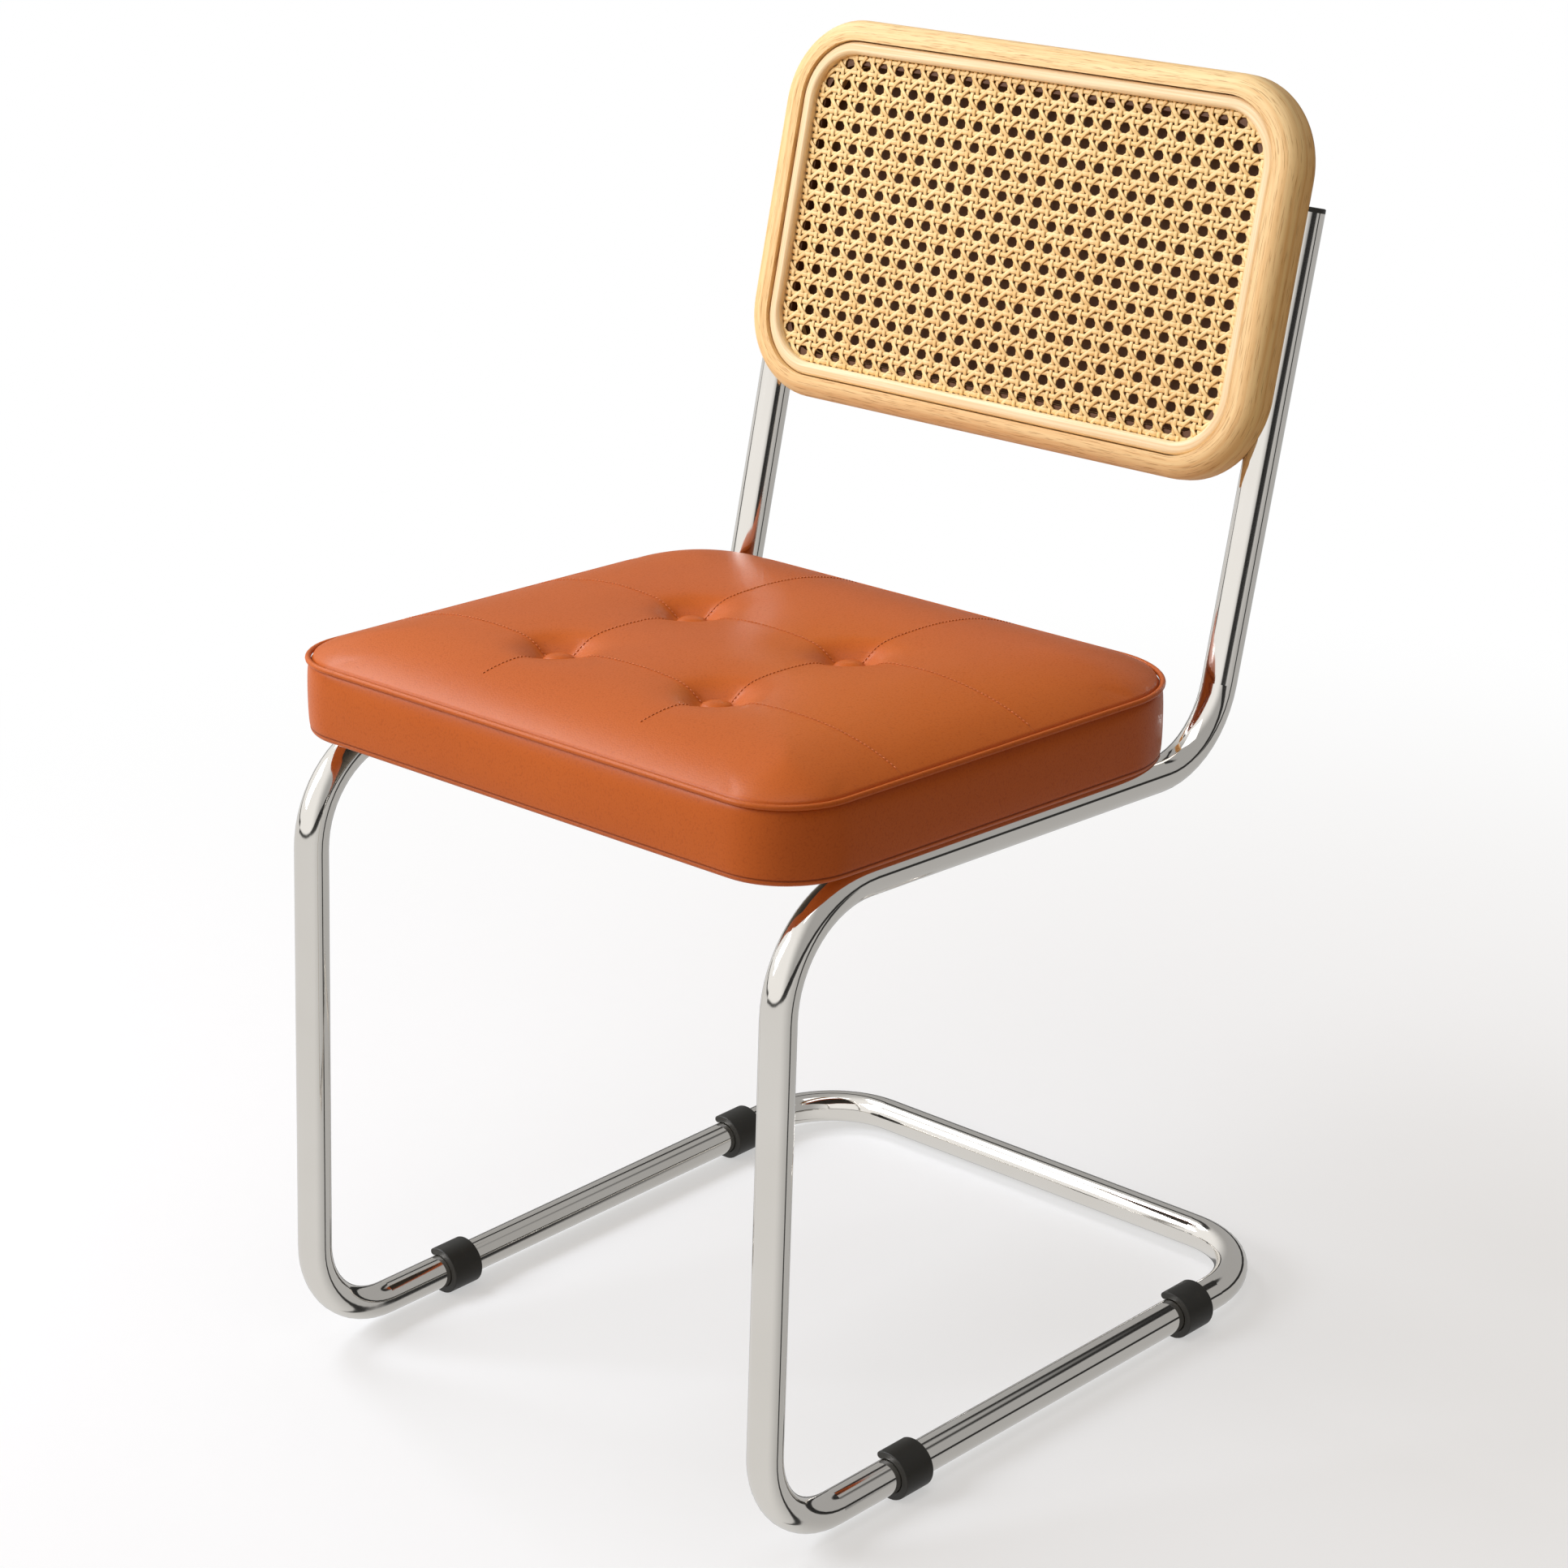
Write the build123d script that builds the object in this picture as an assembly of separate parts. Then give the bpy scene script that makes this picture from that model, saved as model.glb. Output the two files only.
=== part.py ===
"""Cantilever dining chair: one bent tube carries a buttoned box seat and a cane back.

The front faces -Y and left means -X, as seen from the front. The origin lies on the floor,
under the middle of the chair's box.
"""
import os
from math import cos, pi, radians, sin, sqrt, tan

from build123d import *

# Tube frame: lengths along the tube's axis, heights above the floor
tube_diameter = 22.0
tube_wall = 1.5
side_spacing = 410.0        # axis to axis between the two sides
runner_length = 484.0       # corner to corner along the floor
rail_height = 402.0         # seat rail above the floor, at the middle of the runner
upright_place = 171.0       # upright behind the middle of the runner, at the rail height
upright_length = 329.0      # from the rail height to the tube's open end
leg_lean = 5.0              # degrees, top of the front leg towards the back
rail_fall = 3.0             # degrees, seat rail down towards the back
recline = 16.2              # degrees, upright towards the back
rear_bend = 60.0
front_bend = 70.0
foot_bend = 55.0
floor_bend = 64.0

# Plugs in the open tops of the uprights
plug_lid = 3.0
plug_edge = 1.0
plug_spigot = 14.0
plug_clearance = 0.15

# Snap-on glides round the runners
glide_wall = 4.85
glide_length = 24.0
glide_flat = 0.5            # depth cut off where the glide meets the floor
glide_clearance = 0.15
glide_lip_top = 118.0       # degrees from +X towards +Z, upper end of the C
glide_lip_bottom = 212.0    # lower end of the C
glide_edge = 0.8
glide_front_inset = 121.0   # from the runner's front corner
glide_rear_inset = 92.0     # from the runner's rear corner

# Wooden frame of the back
back_overhang = 8.0         # beyond the uprights' axes, at each side
back_height = 248.0
back_over_tube = 75.0       # top edge beyond the tubes' open ends
back_thickness = 26.0
back_corner = 58.0
front_round = 11.0
rear_round = 8.0
tube_sink = 6.5             # how deep the uprights lie in the back of the frame
tube_channel_clearance = 0.3

# Cane, its spline and the panel behind it
stile_to_groove = 17.5      # frame's edge to the groove, at the sides
rail_to_groove = 13.8       # the same at top and bottom
groove_corner = 42.0
groove_depth = 15.0
spline_gap = 0.6
spline_width = 8.4
spline_below_face = 1.5
spline_round = 3.0
cane_thickness = 1.2
cane_below_face = 8.0
lip_width = 5.0
cane_spacing = 14.8         # square grid of the cane's openings
cane_hole = 7.4             # across the corners of one opening
cane_hole_sides = 6
cane_margin = 5.0           # least plain cane between the spline and the openings
panel_thickness = 3.0
panel_inset = 1.5
panel_rebate = 8.0
panel_clearance = 0.3

# Seat: plan in the plane of the rails, heights above the top of the rails
seat_overhang = 16.5        # beyond the rails' axes, at each side
seat_front_overhang = 13.0  # ahead of the rails' front corners
seat_rear_gap = 19.0        # ahead of the uprights, at the rail height
seat_front_corner = 48.0
seat_rear_corner = 72.0
least_corner = 8.0
seat_clearance = 0.1
leather = 1.2
band_height = 47.5
band_tuck = 3.0             # how far the band turns in at its lower edge
band_draw = 2.0             # how far the piping draws the band in
band_flange = 24.0
crown_rise = 20.0
crown_reach = 88.0          # distance in from the piping at which the crown is flat
crown_power = 2.2
crown_steps = 5
piping_diameter = 3.6
piping_inset = 1.0

# Buttons, their dimples and the stitched lines between them
button_diameter = 20.0
button_rise = 5.0
button_rim = 1.5
button_spacing_x = 136.0
button_spacing_y = 114.0
button_forward = 31.0       # middle of the four buttons ahead of the seat's middle
dimple_depth = 12.5
dimple_reach = 40.0
seam_depth = 1.4
seam_radius = 5.0
cord_diameter = 2.0
cord_clearance = 0.3
washer_diameter = 18.0
washer_thickness = 1.6
knot_diameter = 3.8
counterbore_depth = 6.0

# Seat board, cloth below it and its fastenings
board_thickness = 12.0
board_clearance = 0.3
dust_cover_thickness = 0.8
dust_cover_clearance = 0.3
seat_screw_front_inset = 107.0  # behind the rails' front corners
seat_screw_rear_inset = 86.0    # ahead of the uprights, at the rail height
seat_screw_diameter = 6.0
seat_screw_reach = 11.0         # above the rails
seat_head_diameter = 11.0
seat_head_height = 3.6
tee_flange_diameter = 19.0
tee_flange_thickness = 1.5
tee_barrel_diameter = 8.0
tee_barrel_length = 9.0

# Fastenings of the back
back_screw_low_inset = 66.0     # above the back's lower edge, clear of its round corners
back_screw_high_inset = 29.0    # below the tubes' open ends
back_screw_diameter = 5.0
back_screw_reach = 11.0         # in front of the uprights
back_head_diameter = 9.5
back_head_height = 3.2
insert_diameter = 8.0
insert_length = 12.0
screw_clearance = 0.25
access_clearance = 0.5      # round a screw's head, where it enters the tube
head_slack = 0.05           # between a screw's head and the tube's inner wall
fit_clearance = 0.1
head_round = 1.2
overcut = 1.0               # how far a cutting form passes the face it opens

# Values that follow from the driving dimensions
sides = {"left": -1, "right": 1}
tube_radius = tube_diameter / 2
bore_radius = tube_radius - tube_wall
side_x = side_spacing / 2
glide_bore = tube_radius + glide_clearance
glide_radius = glide_bore + glide_wall
runner_height = glide_radius - glide_flat

# Corners of one side of the tube before bending, as y and z
rail_slope = -tan(radians(rail_fall))
leg_slope = tan(radians(leg_lean))
upright_slope = tan(radians(recline))
foot_y = -runner_length / 2
rear_z = rail_height + rail_slope * upright_place / (1 - rail_slope * upright_slope)
rear_y = upright_place + upright_slope * (rear_z - rail_height)
front_z = (rail_height + rail_slope * (foot_y - leg_slope * runner_height)) / (1 - rail_slope * leg_slope)
front_y = foot_y + leg_slope * (front_z - runner_height)
open_end_y = upright_place + upright_length * sin(radians(recline))
open_end_z = rail_height + upright_length * cos(radians(recline))

# Back, measured along the uprights from the rail height and square to them from their axes
back_width = side_spacing + 2 * back_overhang
back_top = upright_length + back_over_tube
back_bottom = back_top - back_height
back_middle = (back_top + back_bottom) / 2
back_rear_face = tube_radius - tube_sink
back_front_face = back_rear_face + back_thickness
groove_width = spline_gap + spline_width + cane_thickness
lip_face = back_front_face - cane_below_face
groove_floor = back_front_face - groove_depth
back_screw_seat = sqrt(bore_radius**2 - (back_head_diameter / 2) ** 2) - head_slack
back_screw_length = tube_radius + back_screw_reach - back_screw_seat

# Seat
seat_width = side_spacing + 2 * seat_overhang
seat_front = front_y - seat_front_overhang
seat_rear = upright_place - seat_rear_gap
button_middle = (seat_front + seat_rear) / 2 - button_forward
crown_top = band_height + crown_rise
dimple_floor = crown_top - dimple_depth
board_inset = band_tuck + leather + board_clearance
board_bottom = leather
board_top = board_bottom + board_thickness
rail_axis = -tube_radius - seat_clearance
seat_screw_seat = rail_axis + sqrt(bore_radius**2 - (seat_head_diameter / 2) ** 2) - head_slack
seat_screw_length = seat_screw_reach - seat_screw_seat

# The seat's plane touches the tops of the rails, and the back's plane holds the uprights' axes
back_plane = Plane(
    origin=(0, upright_place, rail_height),
    x_dir=(1, 0, 0),
    z_dir=(0, -cos(radians(recline)), sin(radians(recline))),
)
seat_up = Vector(0, sin(radians(rail_fall)), cos(radians(rail_fall)))
seat_plane = Plane(
    origin=Vector(0, 0, rail_height) + seat_up * (tube_radius + seat_clearance),
    x_dir=(1, 0, 0),
    z_dir=seat_up,
)


def pin(radius, low, high):
    """Round bar along Z between two heights."""
    return Pos(0, 0, (low + high) / 2) * Cylinder(radius, high - low)


def on_seat(part):
    """A part drawn on the seat's plane, put in its place."""
    return seat_plane.location * part


def on_back(part):
    """A part drawn on the back's plane, put in its place."""
    return back_plane.location * part


def four_places(half_spacing, rows):
    """Places of four alike pieces, named by their row and side."""
    return {
        f"{row}_{name}": (side * half_spacing, place)
        for row, place in rows.items()
        for name, side in sides.items()
    }


glide_places = four_places(side_x, {
    "front": foot_y + glide_front_inset,
    "rear": runner_length / 2 - glide_rear_inset,
})
seat_screw_places = four_places(side_x, {
    "front": front_y + seat_screw_front_inset,
    "rear": upright_place - seat_screw_rear_inset,
})
back_screw_places = four_places(side_x, {
    "lower": back_bottom + back_screw_low_inset,
    "upper": upright_length - back_screw_high_inset,
})
button_places = four_places(button_spacing_x / 2, {
    "front": button_middle - button_spacing_y / 2,
    "rear": button_middle + button_spacing_y / 2,
})


def at_places(places, part):
    """One part repeated at all its named places."""
    return [Pos(x, y, 0) * part for x, y in places.values()]


# Tube frame
def make_tube_frame():
    """The whole frame as one hollow tube, with holes for the screws and wider ones to pass their heads."""
    corners = [
        (open_end_y, open_end_z),
        (rear_y, rear_z),
        (front_y, front_z),
        (foot_y, runner_height),
        (runner_length / 2, runner_height),
    ]
    right = [(side_x, y, z) for y, z in corners]
    left = [(-side_x, y, z) for y, z in reversed(corners)]
    bends = [rear_bend, front_bend, foot_bend, floor_bend]
    path = FilletPolyline(*right, *left, radius=bends + bends[::-1])
    start = Plane(origin=path @ 0, z_dir=path % 0)
    outside = sweep(start * Circle(tube_radius), path=path)
    bore = sweep(start * Circle(bore_radius), path=path)
    seat_hole = pin(seat_screw_diameter / 2 + screw_clearance, rail_axis, overcut)
    seat_hole += pin(seat_head_diameter / 2 + access_clearance, rail_axis - tube_radius - overcut, rail_axis)
    back_hole = pin(back_screw_diameter / 2 + screw_clearance, 0, tube_radius + overcut)
    back_hole += pin(back_head_diameter / 2 + access_clearance, -tube_radius - overcut, 0)
    holes = [on_seat(hole) for hole in at_places(seat_screw_places, seat_hole)]
    holes += [on_back(hole) for hole in at_places(back_screw_places, back_hole)]
    return outside - bore - holes


def make_plug():
    """Lid and hollow spigot, standing along Z with the lid's underside at zero."""
    spigot_radius = bore_radius - plug_clearance
    lid = pin(tube_radius, 0, plug_lid)
    lid = fillet(lid.edges().group_by(Axis.Z)[-1], plug_edge)
    spigot = pin(spigot_radius, -plug_spigot, 0) - pin(spigot_radius - tube_wall, -plug_spigot, -plug_edge)
    return lid + spigot


def place_plug(side):
    """The plug on the open end of one upright."""
    return on_back(Pos(side * side_x, upright_length, 0) * Rot(X=-90) * make_plug())


# Glides
def make_glide():
    """C-shaped clip round the runner, along Y, with a flat foot."""
    section = Circle(glide_radius) - Circle(glide_bore)
    lip_ends = [radians(glide_lip_top), radians(glide_lip_bottom)]
    reach = 3 * glide_radius
    middle = sum(lip_ends) / 2
    mouth = make_face(Polyline(
        (0, 0),
        (reach * cos(lip_ends[0]), reach * sin(lip_ends[0])),
        (2 * reach * cos(middle), 2 * reach * sin(middle)),
        (reach * cos(lip_ends[1]), reach * sin(lip_ends[1])),
        close=True,
    ))
    section -= mouth
    lip_radius = glide_bore + glide_wall / 2
    for angle in lip_ends:
        section += Pos(lip_radius * cos(angle), lip_radius * sin(angle)) * Circle(glide_wall / 2)
    clip = extrude(Plane.XZ * section, glide_length / 2, both=True)
    rims = clip.faces().filter_by(Axis.Y)
    clip = fillet([edge for rim in rims for edge in rim.edges()], glide_edge)
    floor_cut = Pos(0, 0, -runner_height - glide_radius) * Box(3 * reach, 3 * reach, 2 * glide_radius)
    return clip - floor_cut


# Wooden back
def back_outline(stile, rail, corner):
    """Rounded rectangle inside the back's edge, by one inset at the sides and one at top and bottom."""
    return Pos(0, back_middle) * RectangleRounded(back_width - 2 * stile, back_height - 2 * rail, corner)


def groove_outline(inward):
    """Outline that runs with the groove, further in by the given distance."""
    return back_outline(stile_to_groove + inward, rail_to_groove + inward, groove_corner - inward)


def slab(outline, low, high):
    """An outline of the back's plane given thickness between two heights."""
    return extrude(Pos(0, 0, low) * outline, high - low)


def make_back_frame():
    """Bent ring: round edges, groove and lip for the cane, rebate behind, channels for the uprights."""
    body = slab(back_outline(0, 0, back_corner), back_rear_face, back_front_face)
    body = fillet(body.edges().group_by(Axis.Z)[-1], front_round)
    body = fillet(body.edges().group_by(Axis.Z)[0], rear_round)
    through = groove_outline(groove_width + lip_width)
    body -= slab(through, back_rear_face - overcut, back_front_face + overcut)
    body -= slab(groove_outline(groove_width), lip_face, back_front_face + overcut)
    body -= slab(groove_outline(0) - groove_outline(groove_width), groove_floor, back_front_face + overcut)
    rebate = groove_outline(groove_width + lip_width - panel_rebate)
    body -= slab(rebate, back_rear_face - overcut, back_rear_face + panel_inset + panel_thickness)
    channel = pin(tube_radius + tube_channel_clearance, 0, upright_length + plug_lid + overcut)
    hole = pin(insert_diameter / 2 + fit_clearance, 0, tube_radius + insert_length + overcut)
    for side in sides.values():
        body -= Pos(side * side_x, 0, 0) * Rot(X=-90) * channel
    for cut in at_places(back_screw_places, hole):
        body -= cut
    return on_back(body)


def make_cane_spline():
    """Rounded strip that locks the cane in the groove."""
    band = groove_outline(spline_gap) - groove_outline(spline_gap + spline_width)
    strip = slab(band, groove_floor, back_front_face - spline_below_face)
    return on_back(fillet(strip.edges().group_by(Axis.Z)[-1], spline_round))


def cane_holes():
    """Openings of the cane in a square grid, as many as fit, each a small polygon."""
    beside = spline_gap + spline_width + cane_margin
    columns = int((back_width - 2 * stile_to_groove - 2 * beside) / cane_spacing)
    rows = int((back_height - 2 * rail_to_groove - 2 * beside) / cane_spacing)
    turns = [2 * pi * k / cane_hole_sides for k in range(cane_hole_sides)]
    holes = []
    for column in range(columns):
        for row in range(rows):
            x = (column - (columns - 1) / 2) * cane_spacing
            y = back_middle + (row - (rows - 1) / 2) * cane_spacing
            corners = [(x + cane_hole / 2 * cos(t), y + cane_hole / 2 * sin(t)) for t in turns]
            holes.append(Wire.make_polygon(corners, close=True))
    return holes


def make_cane_panel():
    """Sheet of open cane, lying on the lip, its edge turned down into the groove."""
    outline = groove_outline(groove_width - cane_thickness)
    sheet = Face(outline.face().outer_wire(), cane_holes())
    sheet = slab(sheet, lip_face, lip_face + cane_thickness)
    edge = slab(outline - groove_outline(groove_width), groove_floor, lip_face + cane_thickness)
    return on_back(sheet + edge)


def make_back_panel():
    """Thin dark board let into the back of the frame."""
    outline = groove_outline(groove_width + lip_width - panel_rebate + panel_clearance)
    low = back_rear_face + panel_inset
    return on_back(slab(outline, low, low + panel_thickness))


def make_screw(diameter, length, head_diameter, head_height):
    """Pan-head screw along Z, its head's seat at zero and its point upwards."""
    head = pin(head_diameter / 2, -head_height, 0)
    head = fillet(head.edges().group_by(Axis.Z)[0], head_round)
    return head + pin(diameter / 2, 0, length)


def make_back_screw():
    """Screw from behind, its head inside the upright, through the front wall into the frame."""
    screw = make_screw(back_screw_diameter, back_screw_length, back_head_diameter, back_head_height)
    return Pos(0, 0, back_screw_seat) * screw


def make_back_insert():
    """Threaded bush in the frame that takes the screw."""
    low = tube_radius + tube_channel_clearance
    bush = pin(insert_diameter / 2, low, low + insert_length)
    return bush - pin(back_screw_diameter / 2 + fit_clearance, 0, low + insert_length + overcut)


# Seat
def seat_outline(inset, height):
    """The seat's plan at one height, drawn in by an inset."""
    half = seat_width / 2 - inset
    front = seat_front + inset
    rear = seat_rear - inset
    front_radius = max(seat_front_corner - inset, least_corner)
    rear_radius = max(seat_rear_corner - inset, least_corner)
    corners = [(-half, front), (half, front), (half, rear), (-half, rear)]
    radii = [front_radius, front_radius, rear_radius, rear_radius]
    return Pos(0, 0, height) * make_face(FilletPolyline(*corners, radius=radii, close=True))


def seat_slab(inset, low, high):
    """Straight-sided slab of the seat's plan."""
    return extrude(seat_outline(inset, low), high - low)


def band_form(skin):
    """Side band: tucked in below, fullest at the middle, drawn in at the piping."""
    middle = band_height / 2
    sections = [
        seat_outline(band_tuck + skin, skin),
        seat_outline(band_tuck / 4 + skin, skin + band_tuck),
        seat_outline(skin, middle),
        seat_outline(band_draw / 2 + skin, band_height - band_draw),
        seat_outline(band_draw + skin, band_height),
    ]
    return loft(sections)


def crown_form(skin):
    """Crown above the piping, with a dimple at each button and stitched lines between them."""
    sections = [seat_outline(band_draw + skin, band_height)]
    for step in range(1, crown_steps + 1):
        share = step / crown_steps
        rise = crown_rise * (1 - (1 - share) ** crown_power)
        sections.append(seat_outline(band_draw + skin + share * crown_reach, band_height + rise - skin))
    crown = loft(sections)
    for cut in at_places(button_places, dimple_form(skin)):
        crown -= cut
    return crown - seam_forms(skin)


def dimple_form(skin):
    """Flared hollow round one button: an arc that leaves the crown level and steepens inwards."""
    floor = dimple_floor - skin
    top = crown_top - skin
    inner = button_diameter / 2
    run = dimple_reach - inner
    bend = (run ** 2 + dimple_depth ** 2) / (2 * dimple_depth)
    rim = (dimple_reach, top)
    halfway = (dimple_reach - run / 2, top - bend + (bend ** 2 - (run / 2) ** 2) ** 0.5)
    flare = ThreePointArc((inner, floor), halfway, rim)
    above = top + overcut
    rest = Polyline(rim, (dimple_reach, above), (0, above), (0, floor), (inner, floor))
    return revolve(Plane.XZ * make_face(flare + rest), Axis.Z)


def seam_forms(skin):
    """Long shallow hollows along the stitched lines, fading out where the crown falls."""
    height = crown_top - skin + seam_radius - seam_depth
    along_x = Rot(Y=90) * Cylinder(seam_radius, seat_width)
    along_y = Rot(X=90) * Cylinder(seam_radius, seat_rear - seat_front)
    middle = (seat_front + seat_rear) / 2
    cuts = []
    for step in (-1, 1):
        cuts.append(Pos(0, button_middle + step * button_spacing_y / 2, height) * along_x)
        cuts.append(Pos(step * button_spacing_x / 2, middle, height) * along_y)
    return cuts


def cord_holes(low, high):
    """Passages for the four tufting cords."""
    return at_places(button_places, pin(cord_diameter / 2 + cord_clearance, low, high))


def piping_form():
    """Round piping that runs once round the seat."""
    loop = seat_outline(piping_inset, band_height).face().outer_wire()
    start = Plane(origin=loop @ 0, z_dir=loop % 0)
    return sweep(start * Circle(piping_diameter / 2), path=loop)


def make_seat_cover_top():
    """Leather over the crown, one skin."""
    skin = crown_form(0) - crown_form(leather) - piping_form()
    return on_seat(skin - cord_holes(0, crown_top))


def make_seat_cover_band():
    """Leather round the sides, turned in under the board."""
    skin = band_form(0) - band_form(leather) - piping_form()
    hole = pin(seat_screw_diameter / 2 + screw_clearance, -overcut, leather + overcut)
    skin -= seat_slab(band_flange, -overcut, leather + overcut)
    return on_seat(skin - at_places(seat_screw_places, hole))


def make_seat_foam():
    """Foam under the leather, standing on the board."""
    foam = band_form(leather) - seat_slab(0, -overcut, board_top) + crown_form(leather)
    return on_seat(foam - piping_form() - cord_holes(0, crown_top))


def make_seat_board():
    """Plywood base with holes for the cords, pockets for their washers and seats for the tee nuts."""
    board = seat_slab(board_inset, board_bottom, board_top)
    board -= cord_holes(0, board_top + overcut)
    pocket = pin(washer_diameter / 2 + fit_clearance, 0, board_bottom + counterbore_depth)
    flange_low = board_top - tee_flange_thickness
    nut_hole = pin(tee_barrel_diameter / 2 + fit_clearance, 0, board_top + overcut)
    nut_hole += pin(tee_flange_diameter / 2 + fit_clearance, flange_low, board_top + overcut)
    for cut in at_places(button_places, pocket) + at_places(seat_screw_places, nut_hole):
        board -= cut
    return on_seat(board)


def make_seat_dust_cover():
    """Black cloth that closes the underside inside the leather's turned edge."""
    inset = band_flange + dust_cover_clearance
    return on_seat(seat_slab(inset, board_bottom - dust_cover_thickness, board_bottom))


def make_tuft_button():
    """Covered button: low dome with a rim, lying in its dimple."""
    radius = button_diameter / 2 - fit_clearance
    rise = button_rise - button_rim
    dome = (radius ** 2 + rise ** 2) / (2 * rise)
    body = pin(radius, dimple_floor, dimple_floor + button_rise)
    return body & Pos(0, 0, dimple_floor + button_rise - dome) * Sphere(dome)


def make_tufting_cord():
    """Cord from a button down through foam, board and washer, ending in a knot."""
    knot_height = board_bottom + counterbore_depth - washer_thickness - knot_diameter / 2
    cord = pin(cord_diameter / 2, knot_height, dimple_floor)
    return cord + Pos(0, 0, knot_height) * Sphere(knot_diameter / 2)


def make_tufting_washer():
    """Washer in the board's pocket that the cord pulls against."""
    high = board_bottom + counterbore_depth
    disc = pin(washer_diameter / 2, high - washer_thickness, high)
    return disc - pin(cord_diameter / 2 + cord_clearance, 0, high + overcut)


def make_seat_screw():
    """Screw from below, its head inside the rail, through the upper wall into its tee nut."""
    screw = make_screw(seat_screw_diameter, seat_screw_length, seat_head_diameter, seat_head_height)
    return Pos(0, 0, seat_screw_seat) * screw


def make_seat_tee_nut():
    """Flanged nut let into the board from above."""
    flange_low = board_top - tee_flange_thickness
    nut = pin(tee_flange_diameter / 2, flange_low, board_top)
    nut += pin(tee_barrel_diameter / 2, flange_low - tee_barrel_length, flange_low)
    return nut - pin(seat_screw_diameter / 2 + fit_clearance, 0, board_top + overcut)


nodes = {
    "tube_frame": make_tube_frame(),
    "back_frame": make_back_frame(),
    "cane_spline": make_cane_spline(),
    "cane_panel": make_cane_panel(),
    "back_panel": make_back_panel(),
    "seat_board": make_seat_board(),
    "seat_foam": make_seat_foam(),
    "seat_cover_top": make_seat_cover_top(),
    "seat_cover_band": make_seat_cover_band(),
    "seat_piping": on_seat(piping_form()),
    "seat_dust_cover": make_seat_dust_cover(),
}
for name, side in sides.items():
    nodes[f"{name}_upright_plug"] = place_plug(side)
for name, (x, y) in glide_places.items():
    nodes[f"glide_{name}"] = Pos(x, y, runner_height) * make_glide()
for name, (x, y) in back_screw_places.items():
    nodes[f"back_screw_{name}"] = on_back(Pos(x, y) * make_back_screw())
    nodes[f"back_insert_{name}"] = on_back(Pos(x, y) * make_back_insert())
for name, (x, y) in seat_screw_places.items():
    nodes[f"seat_screw_{name}"] = on_seat(Pos(x, y) * make_seat_screw())
    nodes[f"seat_tee_nut_{name}"] = on_seat(Pos(x, y) * make_seat_tee_nut())
for name, (x, y) in button_places.items():
    nodes[f"tuft_button_{name}"] = on_seat(Pos(x, y) * make_tuft_button())
    nodes[f"tufting_cord_{name}"] = on_seat(Pos(x, y) * make_tufting_cord())
    nodes[f"tufting_washer_{name}"] = on_seat(Pos(x, y) * make_tufting_washer())

# The origin goes under the middle of the whole chair's box
boxes = [part.bounding_box() for part in nodes.values()]
front_reach = min(box.min.Y for box in boxes)
rear_reach = max(box.max.Y for box in boxes)
to_origin = Pos(0, -(front_reach + rear_reach) / 2, 0)

os.makedirs("parts", exist_ok=True)
for name, part in nodes.items():
    export_step(to_origin * part, f"parts/{name}.step")
print(f"{len(nodes)} nodes, moved by {-(front_reach + rear_reach) / 2:.2f} mm along Y")
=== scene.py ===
# %% [markdown]
# # A cantilever chair with a cane back and a buttoned leather seat
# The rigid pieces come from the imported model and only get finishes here. The soft and woven
# pieces are made new: a simulated leather cushion with piping, buttons and stitches, and cane
# that is woven strand by strand. Everything is in metres, in the model's own frame: the front
# of the chair faces -Y and the floor is at zero.

import bpy
import numpy as np
from mathutils import Matrix, Vector
from mathutils.bvhtree import BVHTree


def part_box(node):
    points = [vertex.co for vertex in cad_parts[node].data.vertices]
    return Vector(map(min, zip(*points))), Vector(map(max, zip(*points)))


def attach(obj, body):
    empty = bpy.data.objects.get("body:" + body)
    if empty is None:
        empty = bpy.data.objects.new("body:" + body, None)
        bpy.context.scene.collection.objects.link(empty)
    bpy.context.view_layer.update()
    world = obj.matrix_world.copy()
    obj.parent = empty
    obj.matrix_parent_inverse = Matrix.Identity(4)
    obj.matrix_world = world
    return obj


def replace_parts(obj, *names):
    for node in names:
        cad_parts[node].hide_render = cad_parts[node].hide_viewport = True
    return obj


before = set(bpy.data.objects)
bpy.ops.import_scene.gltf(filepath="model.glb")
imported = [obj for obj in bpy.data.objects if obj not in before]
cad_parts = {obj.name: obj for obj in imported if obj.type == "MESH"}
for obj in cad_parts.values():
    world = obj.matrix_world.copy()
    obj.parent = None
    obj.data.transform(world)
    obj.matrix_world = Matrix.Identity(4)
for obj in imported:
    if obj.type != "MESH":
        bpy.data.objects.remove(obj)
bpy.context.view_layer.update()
print("loaded", len(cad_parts), "nodes")

# %% [markdown]
# ## Two working planes
# The seat lies on rails that fall 3 degrees to the back, and the back leans 16.2 degrees. Both
# are easier to draw flat, so each has its own plane: an origin and three directions. A point is
# placed by adding its three distances along those directions.

# %% Planes of the seat and the back
mm = 0.001
tube_radius = 11 * mm
rail_height = 402 * mm
rail_fall = np.radians(3.0)
recline = np.radians(16.2)
upright_place = 171 * mm
glide_inset = 121 * mm
runner_length = 484 * mm

glide_low, glide_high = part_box("glide_front_left")
runner_middle = (glide_low.y + glide_high.y) / 2 - glide_inset + runner_length / 2


class Plane:
    """A place with three directions: across the chair, along the plane, and out of it."""

    def __init__(self, origin, along, out):
        self.origin = np.array(origin, float)
        self.axes = np.array([(1, 0, 0), along, out], float)

    def place(self, points):
        """World points = origin + across * x + along * y + out * z, for a whole array."""
        return self.origin + np.asarray(points, float) @ self.axes

    def turn(self):
        """Turn about X that lays the plane flat, for a Mapping node."""
        return float(np.arctan2(self.axes[1, 2], self.axes[1, 1]))


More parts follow.
